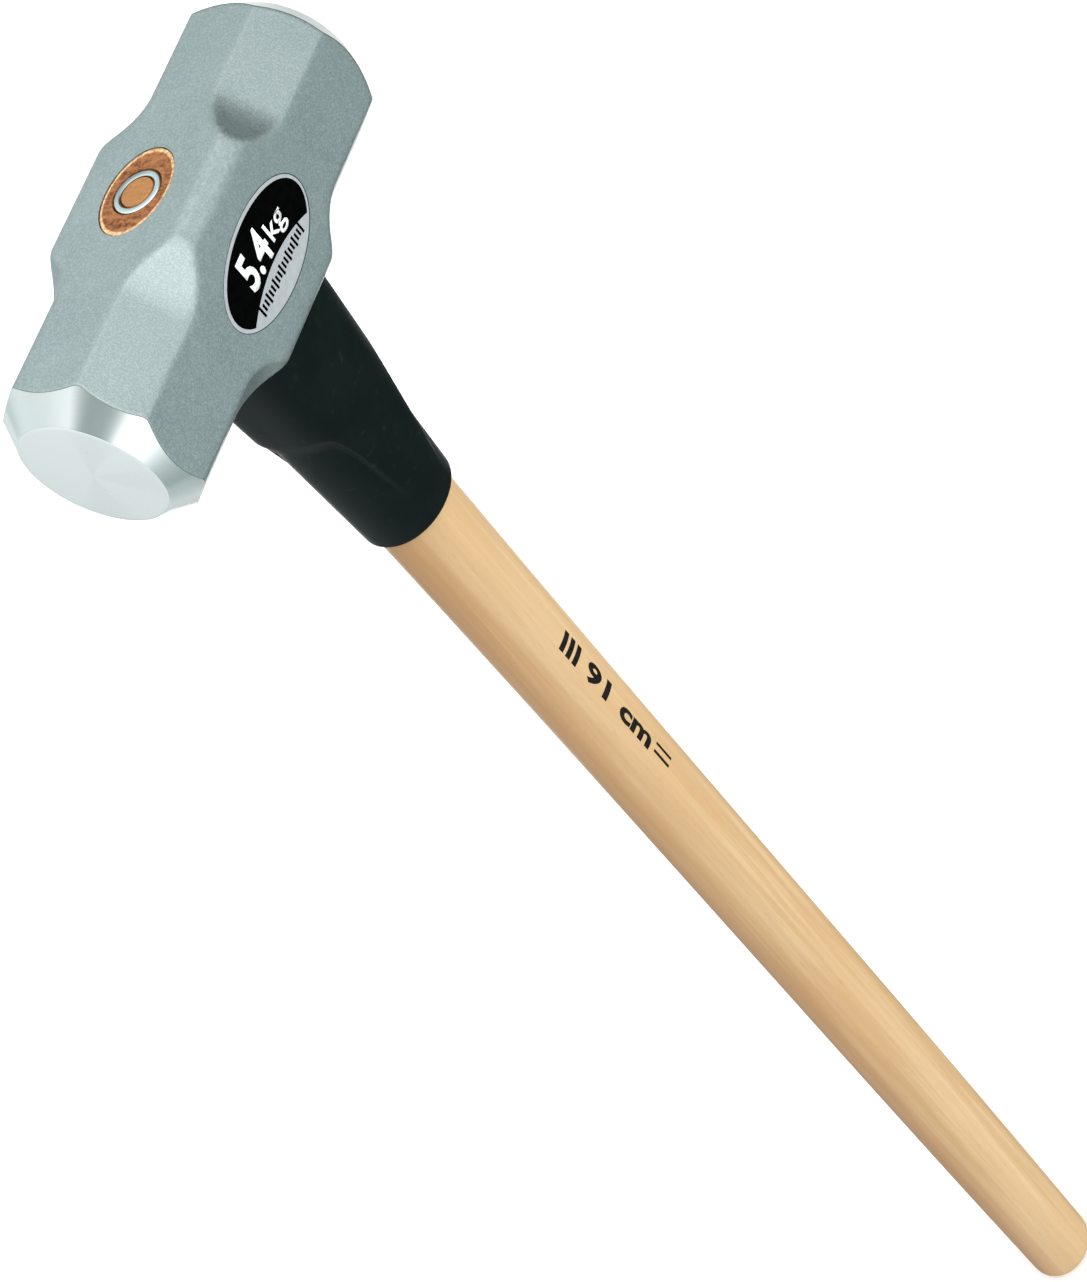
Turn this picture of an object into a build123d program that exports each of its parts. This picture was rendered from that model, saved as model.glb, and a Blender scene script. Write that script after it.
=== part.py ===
from build123d import *
import math
import os

# A double-faced sledgehammer: forged steel head, wooden handle, ring wedge, rubber sleeve, label.
# Millimetres. The origin is the centre of the butt end and +Z runs up the handle to the head.
# X runs from striking face to striking face. -Y is the cheek that carries the label.

# ---- driving dimensions ----
OVERALL_LENGTH = 914.4  # butt end to the top of the head, 36 inches

HEAD_LENGTH = 186.0  # along X, over both striking faces
HEAD_WIDTH = 64.2  # along Y, cheek to cheek
HEAD_HEIGHT = 70.3  # along Z
END_CORNER = 17.5  # corner chamfer of the octagonal ends, measured along either side
MIDDLE_CORNER = 4.5  # corner chamfer of the nearly square middle
MIDDLE_HALF_LENGTH = 24.0  # the middle keeps its full section this far either way
SCOOP_END = 43.0  # distance from the centre at which the corners are octagonal
FACE_RADIUS = 27.0  # striking face, inside the turned bevel
FACE_CROWN = 0.5  # how far the middle of a striking face stands out
BEVEL_ANGLE = 45.0  # of the turned bevel, from the X axis

EYE_TOP = (19.2, 14.2)  # half axes of the eye along X and Y
EYE_WAIST = (17.6, 12.6)
EYE_BOTTOM = (18.6, 13.6)
EYE_CLEARANCE = 0.05  # all round, between the wood and the steel
WOOD_RECESS = 0.2  # end grain below the top of the head

OVAL_RATIO = 0.86  # depth over width of the handle's oval section
BUTT_WIDTH = 39.4  # the oval's longer side, at the butt
SWELL_WIDTH = 40.2  # at the lower hand
SWELL_HEIGHT = 285.0
WAIST_WIDTH = 38.6  # at the upper hand
WAIST_HEIGHT = 600.0
SHOULDER_WIDTH = 39.8  # where the sleeve's lower rim grips
SHOULDER_IN_SLEEVE = 30.0  # from the sleeve's rim up to where the handle starts to narrow
BUTT_ROUNDING = 8.0

RING_OUTER_RADIUS = 9.5
RING_WALL = 2.7  # at the top of the ring
RING_EDGE = 0.7  # wall at the driven edge
RING_DEPTH = 24.0
RING_RECESS = 0.1  # ring below the top of the head
RING_CLEARANCE = 0.03

SLEEVE_LENGTH = 114.0
SLEEVE_TOP = (57.0, 49.0)  # full size along X and Y under the head
SLEEVE_LEDGE = (52.4, 45.0)  # just above the step in its sides
SLEEVE_BODY = (50.2, 43.2)  # just below the step
SLEEVE_RIM = (46.6, 40.2)
SLEEVE_LEDGE_DEPTH = 46.0  # top of the sleeve to the top of the step
SLEEVE_BODY_DEPTH = 60.0  # top of the sleeve to the foot of the step
SLEEVE_TOP_CORNER = 14.0
SLEEVE_RIM_CORNER = 19.0
SLEEVE_RIM_ROUNDING = 1.6
SLEEVE_CLEARANCE = 0.05

LABEL_WIDTH = 63.6
LABEL_HEIGHT = 36.3
LABEL_THICKNESS = 0.25
LABEL_BELOW_TOP = 36.5  # label centre, below the top of the head

# ---- derived places ----
HEAD_BOTTOM = OVERALL_LENGTH - HEAD_HEIGHT
HEAD_MIDDLE = OVERALL_LENGTH - HEAD_HEIGHT / 2
SLEEVE_START = HEAD_BOTTOM - SLEEVE_LENGTH


def ellipse_at(height, half_axes, grow=0.0):
    """A level ellipse, its half axes grown all round."""
    return Pos(0, 0, height) * Ellipse(half_axes[0] + grow, half_axes[1] + grow)


def oval_at(height, width, grow=0.0):
    """The handle's oval section at a height."""
    return ellipse_at(height, (width / 2, width / 2 * OVAL_RATIO), grow)


def rounded_block_at(height, size, corner):
    """A level rounded rectangle, one section of the sleeve."""
    return Pos(0, 0, height) * RectangleRounded(size[0], size[1], corner)


def eye_filling(top, grow):
    """The hourglass that fills the eye: widest at both mouths, narrowest half way."""
    bottom_section = ellipse_at(HEAD_BOTTOM, EYE_BOTTOM, grow)
    waist_section = ellipse_at(HEAD_MIDDLE, EYE_WAIST, grow)
    top_section = ellipse_at(top, EYE_TOP, grow)
    lower = loft([bottom_section, waist_section], ruled=True)
    upper = loft([waist_section, top_section], ruled=True)
    return lower + upper


def middle_block():
    """The head's nearly square middle section, run the whole length."""
    section = Rectangle(HEAD_WIDTH, HEAD_HEIGHT)
    section = chamfer(section.vertices(), MIDDLE_CORNER)
    return extrude(Plane.YZ * section, amount=HEAD_LENGTH / 2, both=True)


def corner_cutter(side_y, side_z):
    """Takes one long corner down to the octagon at the +X end, with a scooped run-in."""
    reach = (HEAD_WIDTH + HEAD_HEIGHT) / 2
    end_distance = (reach - END_CORNER) / math.sqrt(2)
    middle_distance = (reach - MIDDLE_CORNER) / math.sqrt(2)
    rise = middle_distance - end_distance
    run = SCOOP_END - MIDDLE_HALF_LENGTH
    radius = (run**2 + rise**2) / (2 * rise)
    half_turn = math.asin(run / radius) / 2
    scoop_start = (MIDDLE_HALF_LENGTH, middle_distance)
    scoop_middle = (
        SCOOP_END - radius * math.sin(half_turn),
        end_distance + radius * (1 - math.cos(half_turn)),
    )
    scoop_end = (SCOOP_END, end_distance)
    scoop = ThreePointArc(scoop_start, scoop_middle, scoop_end)
    rest = Polyline(
        scoop_end,
        (HEAD_LENGTH, end_distance),
        (HEAD_LENGTH, reach),
        (MIDDLE_HALF_LENGTH, reach),
        scoop_start,
    )
    plane = Plane(origin=(0, 0, 0), x_dir=(1, 0, 0), z_dir=(0, -side_z, side_y))
    return extrude(plane * make_face([scoop, rest]), amount=HEAD_HEIGHT, both=True)


def turned_envelope():
    """The round form that the lathe leaves: crowned faces and bevels, wider than the head elsewhere."""
    half = HEAD_LENGTH / 2
    edge = half - FACE_CROWN
    outside = HEAD_HEIGHT
    slope_length = (outside - FACE_RADIUS) / math.tan(math.radians(BEVEL_ANGLE))
    crown_radius = (FACE_RADIUS**2 + FACE_CROWN**2) / (2 * FACE_CROWN)
    half_angle = math.asin(FACE_RADIUS / crown_radius) / 2
    crown_middle = (
        half - crown_radius * (1 - math.cos(half_angle)),
        crown_radius * math.sin(half_angle),
    )
    crown = ThreePointArc((half, 0), crown_middle, (edge, FACE_RADIUS))
    side = Polyline(
        (edge, FACE_RADIUS),
        (edge - slope_length, outside),
        (0, outside),
        (0, 0),
        (half, 0),
    )
    one_end = revolve(make_face([crown, side]), axis=Axis.X)
    return one_end + mirror(one_end, about=Plane.YZ)


def head():
    """Double-faced head, forged octagonal at both ends, with the eye through its middle."""
    body = middle_block()
    for side_y in (-1, 1):
        for side_z in (-1, 1):
            cutter = corner_cutter(side_y, side_z)
            body = body - cutter - mirror(cutter, about=Plane.YZ)
    body = body & turned_envelope()
    return Pos(0, 0, HEAD_MIDDLE) * body - eye_filling(OVERALL_LENGTH, 0.0)


def ring(grow):
    """A conical ring, driven edge down, its walls grown by a clearance."""
    top = OVERALL_LENGTH - RING_RECESS
    bottom = top - RING_DEPTH - grow
    wall_middle = RING_OUTER_RADIUS - RING_WALL / 2
    half_top = RING_WALL / 2 + grow
    half_edge = RING_EDGE / 2 + grow
    wall = Polyline(
        (wall_middle - half_top, top),
        (wall_middle + half_top, top),
        (wall_middle + half_edge, bottom),
        (wall_middle - half_edge, bottom),
        close=True,
    )
    return revolve(Plane.XZ * make_face(wall), axis=Axis.Z)


def handle_body(grow):
    """The handle from its butt up to the underside of the head."""
    shoulder_height = SLEEVE_START + SHOULDER_IN_SLEEVE
    shoulder = oval_at(shoulder_height, SHOULDER_WIDTH, grow)
    stick = loft(
        [
            oval_at(0, BUTT_WIDTH, grow),
            oval_at(SWELL_HEIGHT, SWELL_WIDTH, grow),
            oval_at(WAIST_HEIGHT, WAIST_WIDTH, grow),
            shoulder,
        ]
    )
    neck_end = ellipse_at(HEAD_BOTTOM, EYE_BOTTOM, grow - EYE_CLEARANCE)
    return stick + loft([shoulder, neck_end], ruled=True)


def handle():
    """One turned stick, with its top end filling the eye and slit round for the ring."""
    body = handle_body(0.0)
    butt_edge = body.edges().sort_by(Axis.Z)[0]
    body = fillet(butt_edge, BUTT_ROUNDING)
    body = body + eye_filling(OVERALL_LENGTH - WOOD_RECESS, -EYE_CLEARANCE)
    return body - ring(RING_CLEARANCE)


def ring_wedge():
    """The steel ring that spreads the handle's end in the eye."""
    return ring(0.0)


def overstrike_guard():
    """Rubber sleeve: block-like under the head, stepping in to an oval that hugs the handle."""
    top = HEAD_BOTTOM - SLEEVE_CLEARANCE
    sections = [
        rounded_block_at(SLEEVE_START, SLEEVE_RIM, SLEEVE_RIM_CORNER),
        rounded_block_at(top - SLEEVE_BODY_DEPTH, SLEEVE_BODY, SLEEVE_RIM_CORNER),
        rounded_block_at(top - SLEEVE_LEDGE_DEPTH, SLEEVE_LEDGE, SLEEVE_TOP_CORNER),
        rounded_block_at(top, SLEEVE_TOP, SLEEVE_TOP_CORNER),
    ]
    outside = loft(sections, ruled=True)
    rim_edges = outside.edges().group_by(Axis.Z)[0]
    outside = fillet(rim_edges, SLEEVE_RIM_ROUNDING)
    return outside - handle_body(SLEEVE_CLEARANCE)


def weight_label():
    """Thin oval label on the -Y cheek."""
    centre = (0, -HEAD_WIDTH / 2, OVERALL_LENGTH - LABEL_BELOW_TOP)
    plane = Plane(origin=centre, x_dir=(1, 0, 0), z_dir=(0, -1, 0))
    return extrude(plane * Ellipse(LABEL_WIDTH / 2, LABEL_HEIGHT / 2), amount=LABEL_THICKNESS)


NODES = {
    "head": head,
    "handle": handle,
    "ring_wedge": ring_wedge,
    "overstrike_guard": overstrike_guard,
    "weight_label": weight_label,
}

os.makedirs("parts", exist_ok=True)
for name, build in NODES.items():
    export_step(build(), f"parts/{name}.step")
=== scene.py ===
import math

import bmesh
import bpy
import numpy as np
from mathutils import Euler, Matrix, Vector


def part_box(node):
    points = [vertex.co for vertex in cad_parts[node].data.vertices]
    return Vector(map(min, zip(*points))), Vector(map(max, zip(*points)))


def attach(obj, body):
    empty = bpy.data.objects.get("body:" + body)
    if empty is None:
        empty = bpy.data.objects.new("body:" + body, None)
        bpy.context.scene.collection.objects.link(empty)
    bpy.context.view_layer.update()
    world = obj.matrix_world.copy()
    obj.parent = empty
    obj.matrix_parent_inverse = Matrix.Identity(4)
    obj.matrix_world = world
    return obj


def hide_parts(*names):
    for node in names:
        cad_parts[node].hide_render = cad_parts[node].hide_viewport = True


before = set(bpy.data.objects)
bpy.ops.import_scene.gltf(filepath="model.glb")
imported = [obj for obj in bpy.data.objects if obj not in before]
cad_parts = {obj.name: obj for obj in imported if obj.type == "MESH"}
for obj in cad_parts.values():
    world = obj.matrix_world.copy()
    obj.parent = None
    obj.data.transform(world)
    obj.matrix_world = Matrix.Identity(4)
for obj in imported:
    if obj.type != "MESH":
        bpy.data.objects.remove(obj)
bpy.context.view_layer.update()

MM = 0.001
TURN = 2 * math.pi

# ---- places taken from the frame ----
HEAD_LOW, HEAD_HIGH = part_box("head")
HEAD_TOP = HEAD_HIGH.z
HEAD_BOTTOM = HEAD_LOW.z
HEAD_MIDDLE = (HEAD_TOP + HEAD_BOTTOM) / 2
HALF_LENGTH = HEAD_HIGH.x
HALF_WIDTH = HEAD_HIGH.y
HALF_HEIGHT = (HEAD_TOP - HEAD_BOTTOM) / 2
CHEEK = HEAD_LOW.y
WOOD_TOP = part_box("handle")[1].z
RING_LOW, RING_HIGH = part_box("ring_wedge")
SLEEVE_LOW, SLEEVE_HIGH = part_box("overstrike_guard")
LABEL_LOW, LABEL_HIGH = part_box("weight_label")
LABEL_CENTRE = (LABEL_LOW + LABEL_HIGH) / 2

# ---- head ----
END_CORNER = 17.5 * MM
MIDDLE_CORNER = 4.5 * MM
MIDDLE_HALF_LENGTH = 24.0 * MM
SCOOP_END = 45.0 * MM
SCOOP_BLEND = 3.2 * MM  # softens the brow where a scoop meets the middle
END_SHARPNESS = 70  # higher is crisper: rounds the forged long edges
MIDDLE_SHARPNESS = 40
FACE_RADIUS = 27.0 * MM
FACE_CROWN = 0.5 * MM
FACE_EDGE_ROUNDING = 0.22 * MM
PAINT_THICKNESS = 0.12 * MM
PAINT_EDGE = 0.1 * MM  # the paint starts to thin out this far short of the bevel
PAINT_LIP = 0.02 * MM  # and ends this far short of it
WEAR_DEPTH = 0.4 * MM  # an edge rounded off by this much shows its full wear
BEVEL_PAINTED_SHADE_FANS = (  # painted shade fans in the turned steel, standing in for its reflection: degrees round the axis, half width, depth
    (108, 48, 0.42),
    (127, 19, 0.65),
    (192, 32, 0.45),
)
# painted shade fans on the striking faces, standing in for their reflection: degrees round the axis,
# half width, depth
FACE_PAINTED_SHADE_FANS = ((125, 24, 0.06), (192, 26, 0.05), (290, 30, 0.05))
FAR_END_PAINTED_SHADE = 0.2  # strength of the painted shade fans at the +X end, where the light is even

HEAD_SIDES = 400
HEAD_ROWS = 132

EYE_TOP = (19.2 * MM, 14.2 * MM)
EYE_WAIST = (17.6 * MM, 12.6 * MM)
EYE_BOTTOM = (18.6 * MM, 13.6 * MM)
EYE_MOUTH_ROUNDING = 0.3 * MM
EYE_SIDES = 120

# ---- handle ----
OVAL_RATIO = 0.86
SHAFT_HEIGHTS = (0.0, 285 * MM, 600 * MM)
SHAFT_WIDTHS = (39.4 * MM, 40.2 * MM, 38.6 * MM)
SHOULDER_IN_SLEEVE = 30.0 * MM
SHOULDER_WIDTH = 39.8 * MM
BUTT_ROUNDING = 8.0 * MM
WOOD_GAP = 0.14 * MM  # dark line left between the end grain and the eye
RING_GAP = 0.6 * MM
SLIT_DEPTH = 3.0 * MM
GRAIN_ROUNDING = 0.45 * MM  # outer edge of the end grain
GRAIN_DISH = 0.25 * MM  # hollow between the eye and the ring
PLUG_ROUNDING = 0.4 * MM  # edge of the wood inside the ring
PLUG_CROWN = 0.1 * MM
RIM_STEPS = 5
PLUG_STEPS = 4
PLUG_SHARES = (0.85, 0.65, 0.45, 0.25, 0.08)  # rings over the plug, as shares of its radius
HANDLE_SIDES = 160

RING_RADIUS = RING_HIGH.x
RING_WALL = 2.5 * MM
RING_EDGE = 0.7 * MM  # wall at the driven edge
# painted shade over the ring's far half, away from the light: degrees round the axis, half width,
# depth
RING_PAINTED_SHADE_FANS = ((52, 85, 0.45),)
RING_TOP_ROUNDING = 0.7 * MM
RING_SIDES = 128

# ---- sleeve ----
SLEEVE_RATIO = 0.858  # depth over width
BLOCK_TAPER = 0.18  # share of its width that the block loses down to the rim
BLOCK_SQUARENESS = 3.6  # under the head: 2 is an oval, higher is squarer
BLOCK_SOFTENING = 1.7  # squareness that the block loses down to the rim
OVAL_TOP = 0.985  # width of the inner oval, as a share of the block's
OVAL_TAPER = 0.192
OVAL_SQUARENESS = 2.05
LEDGE_DEPTH = 45.0 * MM  # step on the narrow sides, below the head
STEP_WIDTH = 9.0 * MM
SWEEP_START = 41.0  # degrees round from the narrow side
SWEEP_SOFTNESS = 5.0
SWEEP_SLOPE = 3.2 * MM  # drop of the step for each degree
STEP_WIDENING = 1.6 * MM  # how much wider the step gets for each degree
WIDENING_SPAN = 12.0  # degrees over which it widens
RIM_BLEND = 32.0 * MM  # the outline is all oval at the end of this
SLEEVE_TOP_ROUNDING = 1.0 * MM
SLEEVE_RIM_ROUNDING = 2.2 * MM
SLEEVE_CLEARANCE = 0.05 * MM  # between the bore and the handle
SLEEVE_SIDES = 220

# ---- label and marks ----
LABEL_BORDER = 1.7 * MM
LABEL_SHADOW_EDGE = 0.35 * MM  # dark edge left round the silver print, a painted shadow of the label's thickness
LABEL_SHADOW_SHIFT = (-0.22 * MM, 0.2 * MM)  # the silver is shifted a little up and to the left, so that the dark edge shows as a painted shadow on the right and bottom
LABEL_ROUNDING = 0.06 * MM
LABEL_BEDDING = 0.05 * MM  # how far the label reaches into the cheek, so that no gap shows
CRESCENT_RADIUS = 65.0 * MM
CRESCENT_DROP = 4.0 * MM  # top of the crescent below the label's centre
LABEL_WORDS = (  # words, outline weight, then left, right, low and high from the label's centre
    ("5.4", 0.55, -15.5, 3.0, -2.8, 11.5),
    ("kg", 0.2, 5.0, 16.5, -3.4, 7.5),
)
TICK_COUNT = 19
TICK_PITCH = 2.05 * MM
TICK_WIDTH = 1.15 * MM
TICK_HEIGHTS = (4.8 * MM, 3.2 * MM, 3.2 * MM)  # every third bar is taller
TICK_DROP = 9.0 * MM  # middle of the bars below the label's centre
PRINT_LIFT = 0.03 * MM  # how far each print layer stands above the one below
LETTER_SIZE = 20.0 * MM  # before the letters are stretched to their place

HANDLE_MARK_HEIGHT = 583 * MM
HANDLE_WORDS = "91 cm"
HANDLE_WORDS_WEIGHT = 0.7 * MM
HANDLE_FIGURE = (-27.0, 32.0, -4.4, 4.4)  # left, right, low and high from the mark's centre
HANDLE_BARS = (  # along, across, length and height from the mark's centre
    (-47.0, 0.0, 3.4, 9.0),
    (-41.5, 0.0, 3.4, 9.0),
    (-36.0, 0.0, 3.4, 9.0),
    (43.0, 1.8, 14.0, 1.2),
    (43.0, -1.8, 14.0, 1.2),
)
INK_THICKNESS = 0.02 * MM
INK_STEP = 1.2 * MM  # longest edge that is bent round the handle as a straight line

# ---- floor ----
FLOOR_REACH = 60.0
FLOOR_GAP = 0.2 * MM  # below the butt

# ---- camera and light ----
LOOK_AT = Vector((3.0, -2.3, 625.0)) * MM
CAMERA_DISTANCE = 1.2084
CAMERA_AZIMUTH = -37.93
CAMERA_ELEVATION = 44.85
CAMERA_LENS = 83.41  # on a 36 mm long side
CAMERA_UP_TURN = 41.08  # turns the picture so that the handle lies on its diagonal
BRIGHT_SIDE = (-0.62, -0.32, 0.78)  # of the room
ROOM_DARKEST = 0.07
ROOM_BRIGHTEST = 1.94
ROOM_DARK_TINT = (0.82, 1.0, 1.0)
ROOM_BRIGHT_TINT = (1.03, 1.0, 1.0)
FLAG_SIDE = (0.98, -0.05, 0.12)  # where a dark flag shades the room
FLAG_SPREAD = 60.0  # degrees from its middle to its edge
FLAG_SHADE = 0.03  # share of the light left in its middle
KEY_DIRECTION = (0.80, -0.60, 0.15)
KEY_STRENGTH = 2.6
KEY_SPREAD = 25.0
CARDS = (  # direction from the head, distance, size and power of the dim cards
    ((-0.25, 0.55, -0.75), 1.1, 1.6, 3.6),
    ((0.68, 0.56, -0.47), 1.0, 1.0, 2.7),
    ((0.40, 0.58, -0.71), 1.0, 0.6, 2.6),
)


# ======================= mesh helpers =======================


def add_object(name, mesh):
    piece = bpy.data.objects.new(name, mesh)
    bpy.context.scene.collection.objects.link(piece)
    return piece


def skin(rings):
    """Points and quads of a tube through closed rings, given as rows x sides x 3."""
    rows, sides = rings.shape[:2]
    points = rings.reshape(-1, 3)
    row = np.arange(rows - 1)[:, None] * sides
    side = np.arange(sides)[None, :]
    after = (side + 1) % sides
    corners = [row + side, row + after, row + sides + after, row + sides + side]
    faces = np.stack(corners, axis=-1).reshape(-1, 4)
    return points, faces


def closed_tube(rings):
    """A closed body: a tube whose first and last rings are fanned to their centres."""
    points, quads = skin(rings)
    sides = rings.shape[1]
    first, last = len(points), len(points) + 1
    centres = np.stack([rings[0].mean(axis=0), rings[-1].mean(axis=0)])
    points = np.concatenate([points, centres])
    end = len(points) - 2 - sides
    fans = []
    for i in range(sides):
        after = (i + 1) % sides
        fans.append((first, after, i))
        fans.append((last, end + i, end + after))
    return points, quads.tolist() + fans


def face_outwards(mesh, merge=False):
    work = bmesh.new()
    work.from_mesh(mesh)
    if merge:
        bmesh.ops.remove_doubles(work, verts=work.verts, dist=1e-7)
    bmesh.ops.recalc_face_normals(work, faces=work.faces)
    work.to_mesh(mesh)
    work.free()


def make_mesh(name, points, faces, material):
    """A mesh of one material."""
    mesh = bpy.data.meshes.new(name)
    mesh.from_pydata(np.asarray(points).tolist(), [], faces)
    mesh.materials.append(material)
    face_outwards(mesh, merge=True)
    return mesh


def make_zoned_mesh(name, points, faces, materials, zones, marks):
    """A mesh with a material for each face, and named marks: one value for each point."""
    mesh = bpy.data.meshes.new(name)
    mesh.from_pydata(points.tolist(), [], faces)
    for material in materials:
        mesh.materials.append(material)
    mesh.polygons.foreach_set("material_index", zones)
    for mark, values in marks.items():
        layer = mesh.attributes.new(mark, "FLOAT", "POINT")
        layer.data.foreach_set("value", values.astype(np.float32))
    face_outwards(mesh)
    return mesh


def smooth_shade(mesh, sharp_above=35.0):
    """Smooth shading, kept crisp across edges that turn more than an angle in degrees."""
    mesh.shade_smooth()
    mesh.set_sharp_from_angle(angle=math.radians(sharp_above))


def oval_ring(width, depth, height, sides):
    """A level ellipse of points, from its half axes."""
    turn = np.linspace(0, TURN, sides, endpoint=False)
    flat = np.full(sides, height)
    return np.stack([width * np.cos(turn), depth * np.sin(turn), flat], axis=1)


def rounding(steps):
    """(in, along) shares of a quarter-round edge, from the side to the end."""
    turn = np.linspace(0, math.pi / 2, steps)
    return list(zip(1 - np.cos(turn), np.sin(turn)))


# ======================= node helpers =======================


class Look:
    """A node material, built with short calls."""

    def __init__(self, name):
        self.material = bpy.data.materials.new(name)
        self.material.use_nodes = True
        self.tree = self.material.node_tree
        self.tree.nodes.clear()
        self.surface = self.tree.nodes.new("ShaderNodeBsdfPrincipled")
        output = self.tree.nodes.new("ShaderNodeOutputMaterial")
        self.join(self.surface.outputs[0], output.inputs["Surface"])
        self.place = self.tree.nodes.new("ShaderNodeTexCoord").outputs["Object"]

    def join(self, source, target):
        self.tree.links.new(source, target)

    def put(self, socket, value):
        """Sets a socket to a constant or to another node's output."""
        if isinstance(value, bpy.types.NodeSocket):
            self.join(value, socket)
        elif isinstance(value, tuple) and len(value) == 3 and socket.type == "RGBA":
            socket.default_value = (*value, 1.0)
        else:
            socket.default_value = value

    def set(self, **values):
        """Sets the surface's inputs: underscores stand for spaces."""
        for name, value in values.items():
            self.put(self.surface.inputs[name.replace("_", " ")], value)

    def scaled(self, scale):
        node = self.tree.nodes.new("ShaderNodeMapping")
        self.join(self.place, node.inputs["Vector"])
        node.inputs["Scale"].default_value = scale
        return node.outputs[0]

    def noise(self, vector, scale, detail=2.0, roughness=0.5, distortion=0.0):
        node = self.tree.nodes.new("ShaderNodeTexNoise")
        self.join(vector, node.inputs["Vector"])
        node.inputs["Scale"].default_value = scale
        node.inputs["Detail"].default_value = detail
        node.inputs["Roughness"].default_value = roughness
        node.inputs["Distortion"].default_value = distortion
        return node.outputs["Fac"]

    def math(self, operation, first, second=0.0):
        node = self.tree.nodes.new("ShaderNodeMath")
        node.operation = operation
        self.put(node.inputs[0], first)
        self.put(node.inputs[1], second)
        return node.outputs[0]

    def spread(self, value, low, high, to_low=0.0, to_high=1.0):
        """Maps a value's stretch low..high to to_low..to_high, smoothly, and clamps it."""
        node = self.tree.nodes.new("ShaderNodeMapRange")
        node.interpolation_type = "SMOOTHSTEP"
        self.put(node.inputs["Value"], value)
        node.inputs["From Min"].default_value = low
        node.inputs["From Max"].default_value = high
        node.inputs["To Min"].default_value = to_low
        node.inputs["To Max"].default_value = to_high
        return node.outputs["Result"]

    def blend(self, share, first, second, kind="MIX"):
        node = self.tree.nodes.new("ShaderNodeMix")
        node.data_type = "RGBA"
        node.blend_type = kind
        self.put(node.inputs["Factor"], share)
        self.put(node.inputs[6], first)
        self.put(node.inputs[7], second)
        return node.outputs[2]

    def bump(self, height, strength, distance, over=None):
        node = self.tree.nodes.new("ShaderNodeBump")
        node.inputs["Strength"].default_value = strength
        node.inputs["Distance"].default_value = distance
        self.put(node.inputs["Height"], height)
        if over is not None:
            self.join(over, node.inputs["Normal"])
        return node.outputs[0]

    def parts(self, vector):
        node = self.tree.nodes.new("ShaderNodeSeparateXYZ")
        self.join(vector, node.inputs[0])
        return node.outputs

    def vector(self, x, y, z):
        node = self.tree.nodes.new("ShaderNodeCombineXYZ")
        for socket, value in zip(node.inputs, (x, y, z)):
            self.put(socket, value)
        return node.outputs[0]

    def attribute(self, name):
        node = self.tree.nodes.new("ShaderNodeAttribute")
        node.attribute_name = name
        return node.outputs["Fac"]


# ======================= materials =======================


def paint_look():
    """Fine sandy silver paint over forged steel, rubbed a little on its edges."""
    look = Look("head_paint")
    grain = look.noise(look.place, 1700, detail=1.0, roughness=0.6)
    mottle = look.noise(look.place, 420, detail=3.0)
    cloud = look.noise(look.place, 38, detail=3.0)
    shade = look.spread(cloud, 0.35, 0.65)
    colour = look.blend(shade, (0.315, 0.395, 0.390), (0.350, 0.425, 0.430))
    colour = look.blend(look.spread(mottle, 0.3, 0.7, 0.0, 0.25), colour, (0.375, 0.455, 0.455))
    speck = look.spread(grain, 0.42, 0.66)
    colour = look.blend(look.math("MULTIPLY", speck, 0.40), colour, (0.60, 0.67, 0.67))
    rubbed = look.spread(look.attribute("edge_wear"), 0.2, 1.0, 0.0, 0.20)
    rubbed = look.math("MULTIPLY", rubbed, look.spread(mottle, 0.35, 0.6))
    colour = look.blend(rubbed, colour, (0.66, 0.72, 0.72))
    # a dark line along the paint's edge, where it steps down to the bevel: painted shade
    outline = look.spread(look.attribute("bevel_gap"), 0.0, 0.6 * MM, 0.75, 0.0)
    colour = look.blend(outline, colour, (0.10, 0.12, 0.12))
    fine = look.bump(grain, 0.75, 0.10 * MM)
    coarse = look.bump(mottle, 0.30, 0.10 * MM, over=fine)
    rough = look.spread(grain, 0.3, 0.7, 0.40, 0.50)
    look.set(Base_Color=colour, Metallic=0.85, Roughness=rough, Normal=coarse)
    return look.material


def turned_steel_look(name, centre, axis, tone, fans):
    """Bright lathe-turned steel: fine circular grooves round an axis, with painted shade in soft fans
    that stands in for its reflection.
    """
    look = Look(name)
    x, y, z = look.parts(look.place)[:3]
    if axis == "X":
        first = look.math("SUBTRACT", y, centre.y)
        second = look.math("SUBTRACT", z, centre.z)
    else:
        first = look.math("SUBTRACT", x, centre.x)
        second = look.math("SUBTRACT", y, centre.y)
    across = look.math("MULTIPLY", first, first)
    up = look.math("MULTIPLY", second, second)
    radius = look.math("SQRT", look.math("ADD", across, up))
    turn = look.math("ARCTAN2", second, first)
    groove = look.noise(look.vector(radius, 0.0, 0.0), 3800, detail=2.0, roughness=0.6)
    smudge = look.noise(look.place, 55, detail=3.0)
    darker = tuple(channel * 0.88 for channel in tone)
    colour = look.blend(look.spread(groove, 0.35, 0.7, 0.0, 0.35), tone, darker)
    # each fan darkens the colour over a stretch of angle round the axis: painted shade standing in for
    # the steel's reflection, weaker at the +X end
    strength = look.spread(x, -1 * MM, 1 * MM, 1.0, FAR_END_PAINTED_SHADE) if axis == "X" else 1.0
    for angle, half_width, depth in fans:
        from_painted_shade_band = look.math("SUBTRACT", turn, math.radians(angle))
        facing = look.math("COSINE", from_painted_shade_band)
        painted_shade_band = look.spread(facing, math.cos(math.radians(half_width)), 1.0)
        shade = (1 - depth, 1 - depth * 0.93, 1 - depth * 0.93)
        painted_shade_colour = look.blend(1.0, colour, shade, "MULTIPLY")
        colour = look.blend(look.math("MULTIPLY", painted_shade_band, strength), colour, painted_shade_colour)
    rough = look.spread(smudge, 0.3, 0.7, 0.20, 0.30)
    relief = look.bump(groove, 0.12, 0.01 * MM)
    look.set(Base_Color=colour, Metallic=1.0, Roughness=rough, Normal=relief)
    return look.material


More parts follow.
